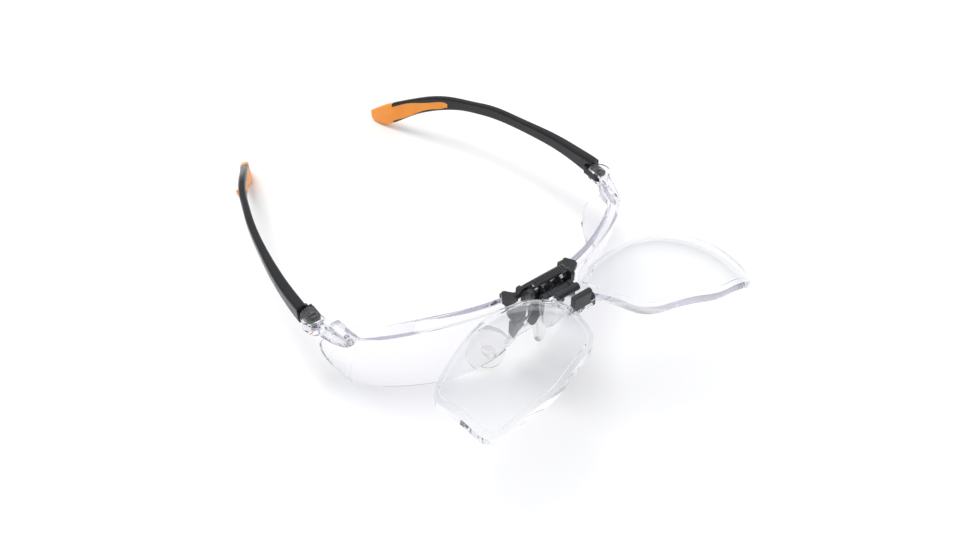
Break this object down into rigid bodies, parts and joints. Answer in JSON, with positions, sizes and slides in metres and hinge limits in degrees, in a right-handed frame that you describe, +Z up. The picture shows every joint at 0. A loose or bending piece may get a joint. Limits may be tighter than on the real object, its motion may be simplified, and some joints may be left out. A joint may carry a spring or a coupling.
{
  "type": "protective spectacles with clip-on magnifier",
  "caption": "Clear wrap-round protective spectacles with folding arms; a spring clip on the brow carries a flip-up double magnifier.",
  "frame": {"origin": "on the resting plane, below the middle of the bounding box", "axes": "+X to the wearer's left, -Y to the front, where the raised magnifier points, +Z up"},
  "size_m": [0.148, 0.2324, 0.0682],
  "materials": {
    "clear_shield": "clear, polished",
    "clear_lens": "clear, polished",
    "clear_soft": "clear, soft",
    "arm_black": "satin",
    "orange_soft": "satin, soft",
    "clip_black": "satin",
    "clip_soft": "matt, soft",
    "steel": "satin"
  },
  "bodies": {
    "spectacles": {"front_shield": "clear_shield", "left_end_piece": "clear_shield", "right_end_piece": "clear_shield", "end_piece_rivets": "clear_shield", "left_hinge_screw": "steel", "right_hinge_screw": "steel", "hinge_nuts": "steel", "nose_bridge": "clear_soft", "clip_body": "clip_black", "shield_pads": "clip_soft", "clamp_pin": "steel", "clamp_spring": "steel", "flip_axle": "steel", "detent_leaf": "steel"},
    "left_arm": {"left_arm": "arm_black", "left_arm_tip": "orange_soft"},
    "right_arm": {"right_arm": "arm_black", "right_arm_tip": "orange_soft"},
    "clamp": {"clamp_lever": "clip_black", "leg_sleeves": "clip_soft"},
    "magnifier": {"lens_carrier": "clip_black", "magnifier_lens": "clear_lens", "clamp_block": "clip_black", "block_pin": "clip_black", "lens_screws": "steel"}
  },
  "joints": [
    {"name": "left_fold", "type": "hinge", "parent": "spectacles", "child": "left_arm", "pos_m": [0.0694, -0.0205, 0.0358], "axis": [0, 0, 1], "range_deg": [0, 72]},
    {"name": "right_fold", "type": "hinge", "parent": "spectacles", "child": "right_arm", "pos_m": [-0.0694, -0.0205, 0.0358], "axis": [0, 0, -1], "range_deg": [0, 62]},
    {"name": "magnifier_flip", "type": "hinge", "parent": "spectacles", "child": "magnifier", "pos_m": [0, -0.0753, 0.0532], "axis": [1, 0, 0], "range_deg": [0, 90]},
    {"name": "clamp_squeeze", "type": "hinge", "parent": "spectacles", "child": "clamp", "pos_m": [0, -0.0693, 0.053], "axis": [1, 0, 0], "range_deg": [0, 10], "stiffness_Nm_per_rad": 0.06, "springref_deg": -20.05}
  ]
}
